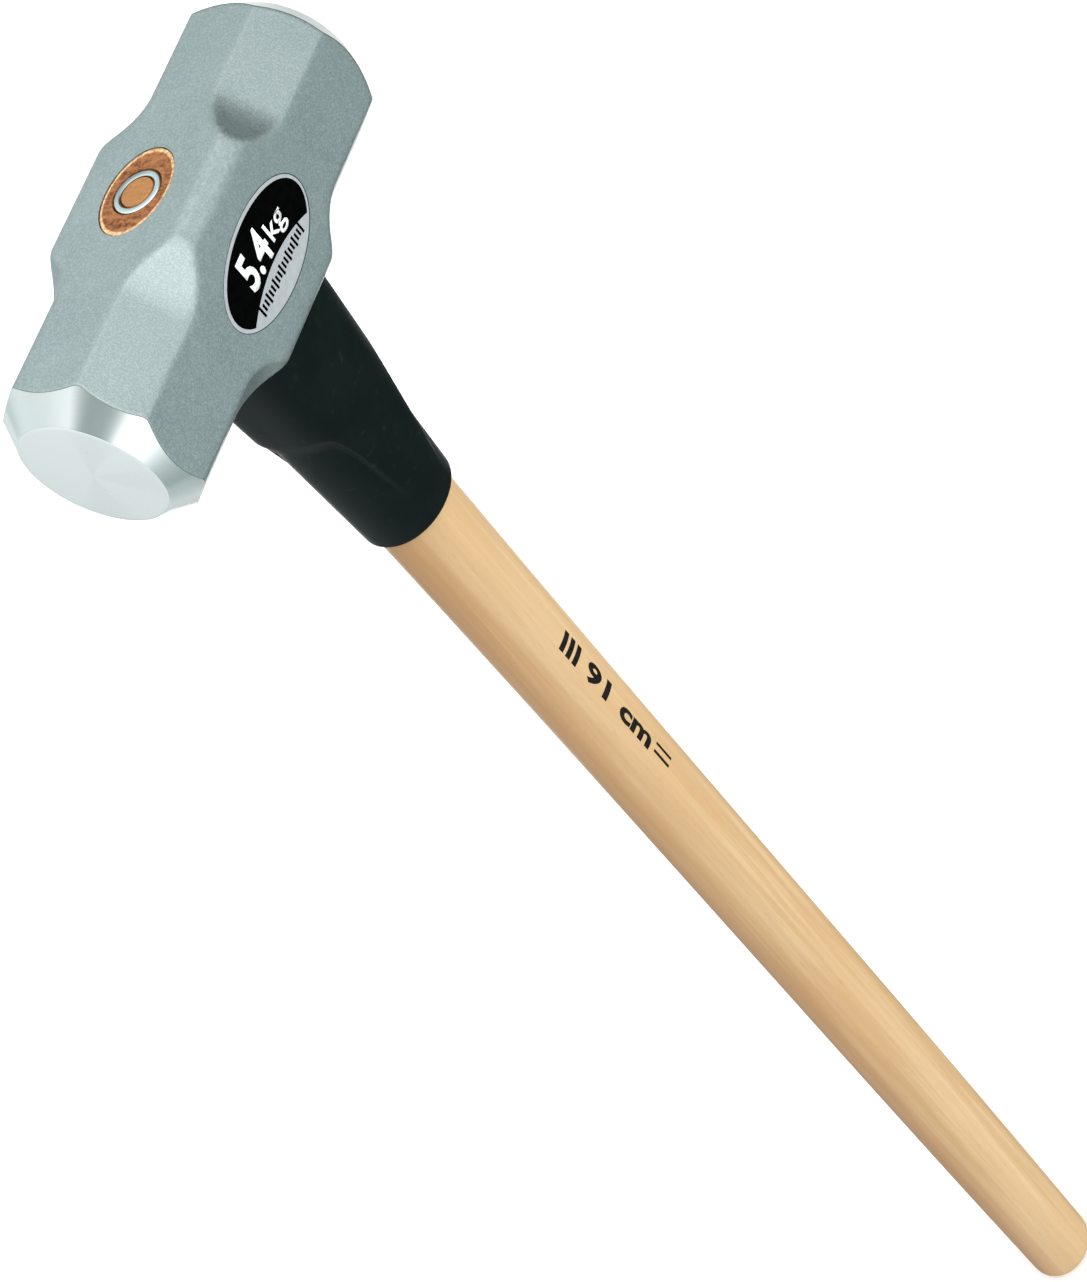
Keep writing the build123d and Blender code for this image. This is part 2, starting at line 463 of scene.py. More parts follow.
def eye_steel_look():
    """Bare broached steel inside the eye, dark with scale."""
    look = Look("eye_steel")
    scale = look.noise(look.place, 900, detail=4.0)
    colour = look.blend(look.spread(scale, 0.3, 0.7), (0.10, 0.09, 0.08), (0.22, 0.20, 0.18))
    look.set(Base_Color=colour, Metallic=0.7, Roughness=0.5, Normal=look.bump(scale, 0.4, 0.1 * MM))
    return look.material


def shaft_wood_look():
    """Clear-lacquered pale hickory: long soft streaks, short pores, faint growth bands."""
    look = Look("lacquered_hickory")
    figure = look.noise(look.scaled((1.0, 1.0, 0.035)), 95, detail=4.0, distortion=0.35)
    streak = look.noise(look.scaled((1.0, 1.0, 0.018)), 420, detail=3.0, roughness=0.6)
    pore = look.noise(look.scaled((1.0, 1.0, 0.05)), 1900, detail=2.0, roughness=0.65)
    cloud = look.noise(look.scaled((1.0, 1.0, 0.30)), 22, detail=2.0)
    x, y = look.parts(look.place)[:2]
    # a darker brown band down the -X+Y side: heartwood colour, deepened as painted shade on the side
    # away from the light
    from_heart_and_painted_shade = look.math("ADD", look.math("SUBTRACT", y, x), look.math("MULTIPLY", figure, 14 * MM))
    heart_and_painted_shade = look.spread(from_heart_and_painted_shade, 4 * MM, 36 * MM)
    colour = look.blend(look.spread(figure, 0.36, 0.64), (0.565, 0.390, 0.216), (0.512, 0.331, 0.166))
    colour = look.blend(look.spread(streak, 0.42, 0.70, 0.0, 0.60), colour, (0.635, 0.467, 0.28))
    colour = look.blend(look.spread(cloud, 0.35, 0.70, 0.0, 0.45), colour, (0.52, 0.322, 0.155))
    colour = look.blend(look.math("MULTIPLY", heart_and_painted_shade, 0.92), colour, (0.29, 0.145, 0.056))
    colour = look.blend(look.spread(pore, 0.58, 0.78, 0.0, 0.38), colour, (0.36, 0.20, 0.085))
    relief = look.bump(pore, 0.16, 0.04 * MM)
    relief = look.bump(streak, 0.10, 0.12 * MM, over=relief)
    look.set(
        Base_Color=colour,
        Roughness=look.spread(streak, 0.3, 0.7, 0.38, 0.50),
        Normal=relief,
        Specular_IOR_Level=0.15,
        Coat_Weight=0.04,
        Coat_Roughness=0.25,
    )
    return look.material


def end_grain_look():
    """Sanded end grain in the eye, stained orange-brown, with a pale crushed rim."""
    look = Look("eye_end_grain")
    mottle = look.noise(look.place, 560, detail=4.0, roughness=0.65)
    pore = look.noise(look.place, 1700, detail=2.0)
    arc = look.noise(look.scaled((1.0, 0.18, 1.0)), 620, detail=3.0, distortion=0.4)
    colour = look.blend(look.spread(mottle, 0.36, 0.64), (0.34, 0.125, 0.042), (0.12, 0.040, 0.014))
    colour = look.blend(look.spread(arc, 0.42, 0.62, 0.0, 0.55), colour, (0.43, 0.19, 0.068))
    colour = look.blend(look.spread(pore, 0.55, 0.75, 0.0, 0.6), colour, (0.13, 0.05, 0.02))
    plug = look.spread(look.attribute("inside_ring"), 0.2, 0.8, 0.0, 0.65)
    colour = look.blend(plug, colour, (0.45, 0.215, 0.075))
    rim = look.spread(look.attribute("rim"), 0.35, 0.95)
    ragged = look.spread(mottle, 0.30, 0.62, 1.0, 0.35)
    colour = look.blend(look.math("MULTIPLY", rim, ragged), colour, (0.98, 0.68, 0.36))
    relief = look.bump(arc, 0.5, 0.15 * MM)
    relief = look.bump(pore, 0.5, 0.10 * MM, over=relief)
    look.set(Base_Color=colour, Roughness=0.58, Normal=relief, Specular_IOR_Level=0.25)
    return look.material


def rubber_look():
    """Satin black moulded rubber with a fine mould texture and scuffed high spots."""
    look = Look("sleeve_rubber")
    grain = look.noise(look.place, 1500, detail=3.0, roughness=0.6)
    cloud = look.noise(look.place, 60, detail=3.0)
    shade = look.spread(cloud, 0.35, 0.65)
    colour = look.blend(shade, (0.0016, 0.0050, 0.0046), (0.0030, 0.0072, 0.0066))
    dust = look.spread(look.noise(look.place, 240, detail=4.0), 0.60, 0.78, 0.0, 0.20)
    colour = look.blend(dust, colour, (0.035, 0.042, 0.042))
    look.set(
        Base_Color=colour,
        Roughness=look.spread(cloud, 0.3, 0.7, 0.44, 0.54),
        Specular_IOR_Level=0.075,
        Normal=look.bump(grain, 0.20, 0.05 * MM),
    )
    return look.material


def print_look(name, colour, other, roughness, shine):
    """A printed vinyl or ink layer, with a faint orange-peel skin and uneven density."""
    look = Look(name)
    density = look.noise(look.place, 380, detail=3.0)
    skin_noise = look.noise(look.place, 900, detail=2.0)
    mixed = look.blend(look.spread(density, 0.35, 0.7), colour, other)
    look.set(
        Base_Color=mixed,
        Roughness=look.spread(skin_noise, 0.3, 0.7, roughness - 0.03, roughness + 0.05),
        Specular_IOR_Level=shine,
        Normal=look.bump(skin_noise, 0.06, 0.03 * MM),
    )
    return look


# ======================= head =======================


def corner_distance(x):
    """How far the corner planes lie from the head's axis, along its length."""
    reach = HALF_WIDTH + HALF_HEIGHT
    end = (reach - END_CORNER) / math.sqrt(2)
    middle = (reach - MIDDLE_CORNER) / math.sqrt(2)
    rise = middle - end
    run = SCOOP_END - MIDDLE_HALF_LENGTH
    radius = (run**2 + rise**2) / (2 * rise)
    slope = run / math.sqrt(radius**2 - run**2)
    away = np.clip(SCOOP_END - np.abs(x), 0, run)
    scoop = end + radius - np.sqrt(radius**2 - away**2)
    scoop = scoop + slope * np.clip(MIDDLE_HALF_LENGTH - np.abs(x), 0, None)
    overlap = np.clip(SCOOP_BLEND - np.abs(scoop - middle), 0, None) / SCOOP_BLEND
    return np.minimum(scoop, middle) - overlap**2 * SCOOP_BLEND / 4


def octagon_planes(x):
    """The normal direction and the distance of the eight long faces, at one place along the head."""
    distances = (HALF_WIDTH, corner_distance(x), HALF_HEIGHT, corner_distance(x))
    return [(side * TURN / 8, distances[side % 4]) for side in range(8)]


def sharpness(x):
    """The long edges are crisper at the ends than in the middle."""
    share = np.clip((np.abs(x) - MIDDLE_HALF_LENGTH) / (SCOOP_END - MIDDLE_HALF_LENGTH), 0, 1)
    return MIDDLE_SHARPNESS + (END_SHARPNESS - MIDDLE_SHARPNESS) * share


def forged_radius(x, turn):
    """Distance from the head's axis to its skin: eight planes with softly rounded meetings."""
    power = sharpness(x)
    total = 0.0
    for normal, distance in octagon_planes(x):
        facing = np.clip(np.cos(turn - normal), 0, None)
        total = total + (facing / distance) ** power
    return total ** (-1 / power)


def edge_wear(x, turn):
    """1 on the rounded long edges and brows, 0 on the flats."""
    sharp = np.full(len(turn), HALF_LENGTH)
    for normal, distance in octagon_planes(x):
        facing = np.cos(turn - normal)
        reach = distance / np.clip(facing, 0.1, None)
        sharp = np.minimum(sharp, np.where(facing > 0.1, reach, HALF_LENGTH))
    return np.clip((sharp - forged_radius(x, turn)) / WEAR_DEPTH, 0, 1)


def half_head(end, turn):
    """Rings of (x, radius) and their finishes, from the head's middle out to one striking face."""
    face_x = HALF_LENGTH - FACE_CROWN
    paint_radius = forged_radius(HALF_LENGTH, turn)
    paint_end = face_x + FACE_RADIUS - paint_radius
    rings = []
    zones = []
    for share in np.linspace(0, 1, HEAD_ROWS // 2 + 1):
        x = end * share * (paint_end - PAINT_EDGE)
        rings.append((x, forged_radius(x, turn)))
        zones.append("paint")
    bevel_start = paint_end - PAINT_LIP
    rings.append((end * bevel_start, paint_radius - 2 * PAINT_LIP))
    zones.append("paint")
    bevel_radius = paint_radius - PAINT_THICKNESS
    setback = FACE_EDGE_ROUNDING * 0.6
    bevel_end = face_x - setback
    bevel_end_radius = FACE_RADIUS + setback - PAINT_THICKNESS / 2
    for share in np.linspace(0, 1, 12):
        x = bevel_start + share * (bevel_end - bevel_start)
        rings.append((end * x, bevel_radius + share * (bevel_end_radius - bevel_radius)))
        zones.append("bevel")
    inner = FACE_RADIUS - FACE_EDGE_ROUNDING
    for share in (0.35, 0.7, 1.0):
        x = bevel_end + (face_x - bevel_end) * math.sin(share * math.pi / 2)
        radius = inner + (bevel_end_radius - inner) * (1 - share) ** 1.3
        rings.append((np.full(HEAD_SIDES, end * x), np.full(HEAD_SIDES, radius)))
        zones.append("face")
    for share in np.linspace(0.94, 0.03, 20):
        radius = inner * share
        x = HALF_LENGTH - FACE_CROWN * share**2
        rings.append((np.full(HEAD_SIDES, end * x), np.full(HEAD_SIDES, radius)))
        zones.append("face")
    return rings, zones, paint_end


def eye_cutter():
    """The hourglass eye with softened mouths, a little longer than the head is high."""
    past = 2.0 * MM
    soft = EYE_MOUTH_ROUNDING
    sections = [
        (HEAD_BOTTOM - past, EYE_BOTTOM, soft + past),
        (HEAD_BOTTOM, EYE_BOTTOM, soft),
        (HEAD_BOTTOM + soft, EYE_BOTTOM, 0.0),
        (HEAD_MIDDLE, EYE_WAIST, 0.0),
        (HEAD_TOP - soft, EYE_TOP, 0.0),
        (HEAD_TOP, EYE_TOP, soft * 0.5),
        (HEAD_TOP + past, EYE_TOP, soft * 0.5 + past),
    ]
    rings = [oval_ring(axes[0] + grow, axes[1] + grow, z, EYE_SIDES) for z, axes, grow in sections]
    points, faces = closed_tube(np.array(rings))
    mesh = make_mesh("eye_cutter", points, faces, eye_steel_look())
    return add_object("eye_cutter", mesh)


def build_head():
    turn = np.linspace(0, TURN, HEAD_SIDES, endpoint=False)
    near_rings, near_zones, paint_end = half_head(-1, turn)
    far_rings, far_zones, paint_end = half_head(1, turn)
    rings = near_rings[:0:-1] + far_rings
    zones = near_zones[:0:-1] + far_zones
    points = []
    wear = []
    gap = []
    for x, radius in rings:
        ring = [x, radius * np.cos(turn), HEAD_MIDDLE + radius * np.sin(turn)]
        points.append(np.stack(ring, axis=1))
        wear.append(edge_wear(x, turn))
        gap.append(np.clip(paint_end - np.abs(x), 0, 1))
    tube_points, faces = closed_tube(np.array(points))
    centre = Vector((0, 0, HEAD_MIDDLE))
    bevel = turned_steel_look("turned_bevel", centre, "X", (0.84, 0.89, 0.88), BEVEL_PAINTED_SHADE_FANS)
    face = turned_steel_look("turned_face", centre, "X", (0.68, 0.70, 0.70), FACE_PAINTED_SHADE_FANS)
    order = {"paint": 0, "bevel": 1, "face": 2}
    per_row = []
    for near, far in zip(zones, zones[1:]):
        per_row.append(max(order[near], order[far]))
    face_materials = np.repeat(per_row, HEAD_SIDES).tolist() + [order["face"]] * (2 * HEAD_SIDES)
    centres = [0.0, 0.0]
    marks = {
        "edge_wear": np.concatenate(wear + [centres]),
        "bevel_gap": np.concatenate(gap + [centres]),
    }
    materials = [paint_look(), bevel, face]
    mesh = make_zoned_mesh("head_forging", tube_points, faces, materials, face_materials, marks)
    return add_object("head_forging", mesh)


def cut_eye(head):
    """Cuts the eye through the head and keeps the result as the head's mesh."""
    cutter = eye_cutter()
    cut = head.modifiers.new("eye", "BOOLEAN")
    cut.operation = "DIFFERENCE"
    cut.solver = "EXACT"
    cut.object = cutter
    cut.material_mode = "TRANSFER"
    shown = bpy.context.evaluated_depsgraph_get()
    mesh = bpy.data.meshes.new_from_object(head.evaluated_get(shown))
    head.modifiers.clear()
    head.data = mesh
    bpy.data.objects.remove(cutter)
    smooth_shade(mesh, 30)


# ======================= handle =======================


def shaft_width(height):
    """Full width of the oval shaft at a height: a smooth curve through its stations."""
    heights = (*SHAFT_HEIGHTS, SLEEVE_LOW.z + SHOULDER_IN_SLEEVE)
    widths = (*SHAFT_WIDTHS, SHOULDER_WIDTH)
    return float(np.polyval(np.polyfit(heights, widths, 3), height))


def shaft_ring(height, inset=0.0):
    half = shaft_width(height) / 2
    return oval_ring(half - inset, half * OVAL_RATIO - inset, height, HANDLE_SIDES)


def butt_rings():
    """The rounded butt, from its middle out to the side."""
    rings = []
    flat = shaft_width(0) / 2 - BUTT_ROUNDING
    for share in (0.05, 0.3, 0.6, 0.85):
        rings.append(shaft_ring(0.0, BUTT_ROUNDING + flat * (1 - share) * OVAL_RATIO))
    for inward, along in reversed(rounding(12)):
        ring = shaft_ring(BUTT_ROUNDING * (1 - along), BUTT_ROUNDING * inward)
        rings.append(ring)
    return rings


def eye_axes(height):
    """Half axes of the eye at a height inside the head."""
    if height < HEAD_MIDDLE:
        share = (height - HEAD_BOTTOM) / (HEAD_MIDDLE - HEAD_BOTTOM)
        low, high = EYE_BOTTOM, EYE_WAIST
    else:
        share = (height - HEAD_MIDDLE) / (HEAD_TOP - HEAD_MIDDLE)
        low, high = EYE_WAIST, EYE_TOP
    return [a + (b - a) * share for a, b in zip(low, high)]


def eye_ring(height, inset):
    width, depth = eye_axes(height)
    return oval_ring(width - inset, depth - inset, height, HANDLE_SIDES)


def end_grain_rings():
    """The end grain from its outer edge in, round the ring's slit and over the plug."""
    slit_outer = RING_RADIUS + RING_GAP
    slit_inner = RING_RADIUS - RING_WALL - RING_GAP
    slit_edge = oval_ring(slit_outer, slit_outer, WOOD_TOP, HANDLE_SIDES)
    rings = []
    for inward, along in rounding(RIM_STEPS):
        height = WOOD_TOP - GRAIN_ROUNDING * (1 - along)
        rings.append(eye_ring(height, WOOD_GAP + GRAIN_ROUNDING * inward))
    start = rings[-1]
    for share in np.linspace(0.08, 1, 12):
        ring = start + (slit_edge - start) * share
        ring[:, 2] = WOOD_TOP - GRAIN_DISH * math.sin(share * math.pi)
        rings.append(ring)
    rings.append(oval_ring(slit_outer, slit_outer, WOOD_TOP - SLIT_DEPTH, HANDLE_SIDES))
    rings.append(oval_ring(slit_inner, slit_inner, WOOD_TOP - SLIT_DEPTH, HANDLE_SIDES))
    for inward, along in rounding(PLUG_STEPS):
        radius = slit_inner - PLUG_ROUNDING * inward
        height = WOOD_TOP - PLUG_ROUNDING * (1 - along)
        rings.append(oval_ring(radius, radius, height, HANDLE_SIDES))
    for share in PLUG_SHARES:
        radius = (slit_inner - PLUG_ROUNDING) * share
        rings.append(oval_ring(radius, radius, WOOD_TOP + PLUG_CROWN, HANDLE_SIDES))
    return rings


def build_handle():
    rings = butt_rings()
    shoulder = SLEEVE_LOW.z + SHOULDER_IN_SLEEVE
    for height in np.linspace(BUTT_ROUNDING, shoulder, 200)[1:]:
        rings.append(shaft_ring(height))
    neck = rings[-1]
    entry = eye_ring(HEAD_BOTTOM, WOOD_GAP)
    for share in np.linspace(0, 1, 12)[1:]:
        rings.append(neck + (entry - neck) * share)
    for height in np.linspace(HEAD_BOTTOM, WOOD_TOP - 0.6 * MM, 24)[1:]:
        rings.append(eye_ring(height, WOOD_GAP))
    shaft_rows = len(rings)
    rings += end_grain_rings()
    rows = len(rings)
    points, faces = closed_tube(np.array(rings))
    face_rows = np.arange(rows - 1) >= shaft_rows - 1
    face_materials = np.repeat(face_rows.astype(int), HANDLE_SIDES).tolist()
    face_materials += [0, 1] * HANDLE_SIDES
    rim_end = shaft_rows + RIM_STEPS
    rim = np.zeros(rows)
    rim[shaft_rows - 1 : rim_end] = 1.0
    rim[rim_end : rim_end + 2] = (0.9, 0.5)
    inside = np.zeros(rows)
    inside[rows - PLUG_STEPS - len(PLUG_SHARES) :] = 1.0
    marks = {
        "rim": np.append(np.repeat(rim, HANDLE_SIDES), [0.0, 0.0]),
        "inside_ring": np.append(np.repeat(inside, HANDLE_SIDES), [0.0, 1.0]),
    }
    materials = [shaft_wood_look(), end_grain_look()]
    mesh = make_zoned_mesh("handle_stick", points, faces, materials, face_materials, marks)
    smooth_shade(mesh, 40)
    return add_object("handle_stick", mesh)


# ======================= ring wedge =======================


def build_ring():
    """Turned steel ring with a rounded top, standing just proud of the wood."""
    outer = RING_RADIUS
    inner = RING_RADIUS - RING_WALL
    top = RING_HIGH.z
    bottom = RING_LOW.z
    middle = (outer + inner) / 2
    profile = [(middle - RING_EDGE / 2, bottom), (middle + RING_EDGE / 2, bottom)]
    soft = RING_TOP_ROUNDING
    for inward, along in rounding(7):
        profile.append((outer - soft * inward, top - soft * (1 - along)))
    for inward, along in reversed(rounding(7)):
        profile.append((inner + soft * inward, top - soft * (1 - along)))
    profile.append(profile[0])
    rings = np.array([oval_ring(radius, radius, z, RING_SIDES) for radius, z in profile])
    points, faces = skin(rings)
    look = turned_steel_look("ring_steel", Vector((0, 0, 0)), "Z", (0.68, 0.76, 0.77), RING_PAINTED_SHADE_FANS)
    mesh = make_mesh("ring_wedge_turned", points, faces.tolist(), look)
    smooth_shade(mesh, 40)
    return add_object("ring_wedge_turned", mesh)


# ======================= overstrike sleeve =======================


def super_radius(turn, width, depth, squareness):
    """Distance from the axis to a rounded-rectangle-like outline."""
    across = np.abs(np.cos(turn) / width) ** squareness
    down = np.abs(np.sin(turn) / depth) ** squareness
    return (across + down) ** (-1 / squareness)


def ease(share):
    """A smooth step from 0 to 1."""
    share = np.clip(share, 0, 1)
    return share * share * (3 - 2 * share)


def sleeve_radius(turn, depth_in):
    """The sleeve's outline at a distance below the head: a block that steps in to an oval.
    The step crosses the narrow sides and sweeps down towards the rim on the broad ones."""
    length = SLEEVE_HIGH.z - SLEEVE_LOW.z
    share = depth_in / length
    block_width = SLEEVE_HIGH.x * (1.0 - BLOCK_TAPER * share)
    squareness = BLOCK_SQUARENESS - BLOCK_SOFTENING * share
    block = super_radius(turn, block_width, block_width * SLEEVE_RATIO, squareness)
    oval_width = SLEEVE_HIGH.x * (OVAL_TOP - OVAL_TAPER * share)
    oval = super_radius(turn, oval_width, oval_width * SLEEVE_RATIO, OVAL_SQUARENESS)
    lean = np.degrees(np.arctan2(np.abs(np.sin(turn)), np.abs(np.cos(turn))))
    past = lean - SWEEP_START
    sweep = (past + np.sqrt(past**2 + SWEEP_SOFTNESS**2)) / 2
    step_depth = LEDGE_DEPTH + SWEEP_SLOPE * sweep
    step_width = STEP_WIDTH + STEP_WIDENING * np.minimum(sweep, WIDENING_SPAN)
    stepped = ease((depth_in - step_depth) / step_width + 0.5)
    near_rim = ease((depth_in - length + RIM_BLEND) / RIM_BLEND)
    inside = 1 - (1 - stepped) * (1 - near_rim)
    return block + (np.minimum(oval, block) - block) * inside


def sleeve_ring(depth_in, inset=0.0):
    turn = np.linspace(0, TURN, SLEEVE_SIDES, endpoint=False)
    radius = sleeve_radius(turn, depth_in) - inset
    height = np.full(SLEEVE_SIDES, SLEEVE_HIGH.z - depth_in)
    return np.stack([radius * np.cos(turn), radius * np.sin(turn), height], axis=1)


def sleeve_bore_ring(height):
    """The bore follows the handle, just clear of it."""
    shoulder = SLEEVE_LOW.z + SHOULDER_IN_SLEEVE
    if height < shoulder:
        half = shaft_width(height) / 2
        width, depth = half, half * OVAL_RATIO
    else:
        share = (height - shoulder) / (HEAD_BOTTOM - shoulder)
        half = SHOULDER_WIDTH / 2
        width = half + (EYE_BOTTOM[0] - half) * share
        depth = half * OVAL_RATIO + (EYE_BOTTOM[1] - half * OVAL_RATIO) * share
    return oval_ring(width + SLEEVE_CLEARANCE, depth + SLEEVE_CLEARANCE, height, SLEEVE_SIDES)


def build_sleeve():
    length = SLEEVE_HIGH.z - SLEEVE_LOW.z
    rings = [sleeve_bore_ring(SLEEVE_HIGH.z)]
    for inward, along in reversed(rounding(5)):
        rings.append(sleeve_ring(SLEEVE_TOP_ROUNDING * (1 - along), SLEEVE_TOP_ROUNDING * inward))
    for depth_in in np.linspace(SLEEVE_TOP_ROUNDING, length - SLEEVE_RIM_ROUNDING, 150)[1:]:
        rings.append(sleeve_ring(depth_in))
    for inward, along in rounding(9)[1:]:
        depth_in = length - SLEEVE_RIM_ROUNDING * (1 - along)
        rings.append(sleeve_ring(depth_in, SLEEVE_RIM_ROUNDING * inward))
    for height in np.linspace(SLEEVE_LOW.z + 0.2 * MM, SLEEVE_HIGH.z, 14):
        rings.append(sleeve_bore_ring(height))
    points, faces = skin(np.array(rings))
    mesh = make_mesh("sleeve_moulding", points, faces.tolist(), rubber_look())
    smooth_shade(mesh, 50)
    return add_object("sleeve_moulding", mesh)


# ======================= label and marks =======================


def flat_plate(name, outline, front, back, material, soft=0.0):
    """A thin plate on the cheek from an outline of (x, z), its front nearer the viewer."""
    outline = np.asarray(outline)
    middle = outline.mean(axis=0)
    layers = [(back, 0.0), (front + soft, 0.0)]
    if soft:
        layers.append((front, soft))
    rings = []
    for y, inset in layers:
        away = outline - middle
        length = np.linalg.norm(away, axis=1, keepdims=True)
        ring = middle + away * (1 - inset / length)
        rings.append(np.stack([ring[:, 0], np.full(len(ring), y), ring[:, 1]], axis=1))
    points, faces = closed_tube(np.array(rings))
    mesh = make_mesh(name, points, faces, material)
    smooth_shade(mesh, 30)
    return add_object(name, mesh)


def label_oval(inset, sides=160):
    turn = np.linspace(0, TURN, sides, endpoint=False)
    width = (LABEL_HIGH.x - LABEL_LOW.x) / 2 - inset
    height = (LABEL_HIGH.z - LABEL_LOW.z) / 2 - inset
    x = LABEL_CENTRE.x + width * np.cos(turn)
    z = LABEL_CENTRE.z + height * np.sin(turn)
    return np.stack([x, z], axis=1)


def crescent_outline():
    """The lower part of the label's field, under a shallow arc."""
    oval = label_oval(LABEL_BORDER, 720)
    across = oval[:, 0] - LABEL_CENTRE.x
    up = oval[:, 1] - LABEL_CENTRE.z
    arc = -CRESCENT_DROP - CRESCENT_RADIUS + np.sqrt(CRESCENT_RADIUS**2 - across**2)
    below = np.flatnonzero(up < arc)
    lower = oval[below]
    lower = lower[np.argsort(lower[:, 0])]
    x = np.linspace(lower[-1, 0], lower[0, 0], 60)[1:-1]
    across = x - LABEL_CENTRE.x
    z = LABEL_CENTRE.z - CRESCENT_DROP - CRESCENT_RADIUS + np.sqrt(CRESCENT_RADIUS**2 - across**2)
    return np.concatenate([lower, np.stack([x, z], axis=1)])


def text_mesh(words, weight):
    """Flat lettering as a mesh in its own plane, its strokes thickened by a weight."""
    curve = bpy.data.curves.new("words", "FONT")
    curve.body = words
    curve.size = LETTER_SIZE
    curve.offset = weight
    curve.align_x = "CENTER"
    curve.align_y = "CENTER"
    curve.resolution_u = 4
    holder = add_object("words", curve)
    bpy.context.view_layer.update()
    shown = bpy.context.evaluated_depsgraph_get()
    mesh = bpy.data.meshes.new_from_object(holder.evaluated_get(shown))
    bpy.data.objects.remove(holder)
    bpy.data.curves.remove(curve)
    return mesh


def thicken(mesh, depth):
    """Gives a flat mesh in its own XY plane a front at depth and walls down to zero."""
    work = bmesh.new()
    work.from_mesh(mesh)
    bmesh.ops.remove_doubles(work, verts=work.verts, dist=1e-6)
    bmesh.ops.triangulate(work, faces=work.faces)
    extruded = bmesh.ops.extrude_face_region(work, geom=work.faces[:] + work.edges[:] + work.verts[:])
    moved = [item for item in extruded["geom"] if isinstance(item, bmesh.types.BMVert)]
    bmesh.ops.translate(work, verts=moved, vec=(0, 0, depth))
    bmesh.ops.recalc_face_normals(work, faces=work.faces)
    work.to_mesh(mesh)
    work.free()


def fit_to(mesh, left, right, low, high):
    """Stretches flat lettering to fill a rectangle of its own plane."""
    points = np.array([vertex.co[:2] for vertex in mesh.vertices])
    start = points.min(axis=0)
    size = points.max(axis=0) - start
    stretch = Vector(((right - left) / size[0], (high - low) / size[1]))
    for vertex in mesh.vertices:
        vertex.co.x = left + (vertex.co.x - start[0]) * stretch.x
        vertex.co.y = low + (vertex.co.y - start[1]) * stretch.y


def label_words(material):
    """A plain weight figure with its unit, on the label's black field."""
    pieces = []
    for words, weight, *corners in LABEL_WORDS:
        mesh = text_mesh(words, weight * MM)
        fit_to(mesh, *[corner * MM for corner in corners])
        thicken(mesh, PRINT_LIFT)
        lay = Matrix.Translation((LABEL_CENTRE.x, LABEL_LOW.y + PRINT_LIFT, LABEL_CENTRE.z))
        mesh.transform(lay @ Euler((math.pi / 2, 0, 0)).to_matrix().to_4x4())
        mesh.materials.append(material)
        pieces.append(mesh)
    figure = add_object("label_figure", pieces[0])
    unit = add_object("label_unit", pieces[1])
    return [figure, unit]


def label_ticks(material):
    """A row of plain bars in the crescent."""
    work = bmesh.new()
    for i in range(TICK_COUNT):
        x = (i - (TICK_COUNT - 1) / 2) * TICK_PITCH
        tall = TICK_HEIGHTS[i % len(TICK_HEIGHTS)]
        centre = Vector((x, LABEL_LOW.y + PRINT_LIFT * 1.5, LABEL_CENTRE.z - TICK_DROP))
        made = bmesh.ops.create_cube(work, size=1.0)
        bmesh.ops.scale(work, verts=made["verts"], vec=(TICK_WIDTH, PRINT_LIFT, tall))
        bmesh.ops.translate(work, verts=made["verts"], vec=centre)
    mesh = bpy.data.meshes.new("label_ticks")
    work.to_mesh(mesh)
    work.free()
    mesh.materials.append(material)
    return add_object("label_ticks", mesh)


def build_label():
    """The label's dark backing, whose rim round the silver is a painted shadow line, then its prints:
    silver border, black field, crescent, words, bars.
    """
    # the dark backing's colour, left showing round the shifted silver, is a painted shadow line
    edge = print_look("label_shadow_edge", (0.030, 0.045, 0.045), (0.040, 0.055, 0.055), 0.5, 0.05)
    silver = print_look("label_silver", (0.37, 0.395, 0.41), (0.41, 0.435, 0.45), 0.34, 0.2)
    silver.set(Metallic=0.2)
    black = print_look("label_black", (0.0010, 0.0014, 0.0012), (0.0018, 0.0018, 0.0018), 0.35, 0.0)
    white = print_look("label_white", (0.92, 0.92, 0.92), (0.96, 0.96, 0.96), 0.35, 0.2)
    ink = print_look("label_ink", (0.006, 0.006, 0.006), (0.01, 0.01, 0.01), 0.4, 0.05)
    border_front = LABEL_LOW.y + 3 * PRINT_LIFT
    field_front = border_front - PRINT_LIFT
    plate_front = border_front + PRINT_LIFT
    plate_back = CHEEK + LABEL_BEDDING
    layers = (
        ("label_border", label_oval(LABEL_SHADOW_EDGE) + LABEL_SHADOW_SHIFT, border_front, plate_front, silver),
        ("label_field", label_oval(LABEL_BORDER), field_front, border_front, black),
        ("label_crescent", crescent_outline(), field_front - PRINT_LIFT, border_front, silver),
    )
    oval = label_oval(0.0)
    pieces = [flat_plate("label_plate", oval, plate_front, plate_back, edge.material, LABEL_ROUNDING)]
    for name, outline, front, back, look in layers:
        pieces.append(flat_plate(name, outline, front, back, look.material))
    pieces += label_words(white.material)
    pieces.append(label_ticks(ink.material))
    return pieces


def wrap_on_handle(mesh, centre_height):
    """Bends a flat mark round the handle's -Y side. Its own X runs down the handle."""
    work = bmesh.new()
    work.from_mesh(mesh)
    bmesh.ops.triangulate(work, faces=work.faces)
    for _ in range(3):
        long_edges = [edge for edge in work.edges if edge.calc_length() > INK_STEP]
        bmesh.ops.subdivide_edges(work, edges=long_edges, cuts=1)
        bmesh.ops.triangulate(work, faces=work.faces)
    for vertex in work.verts:
        height = centre_height - vertex.co.x
        half = shaft_width(height) / 2
        depth = half * OVAL_RATIO
        across = vertex.co.y
        surface = depth * math.sqrt(max(0.0, 1 - (across / half) ** 2))
        lift = INK_THICKNESS + vertex.co.z
        vertex.co = Vector((across, -surface - lift, height))
    work.to_mesh(mesh)
    work.free()


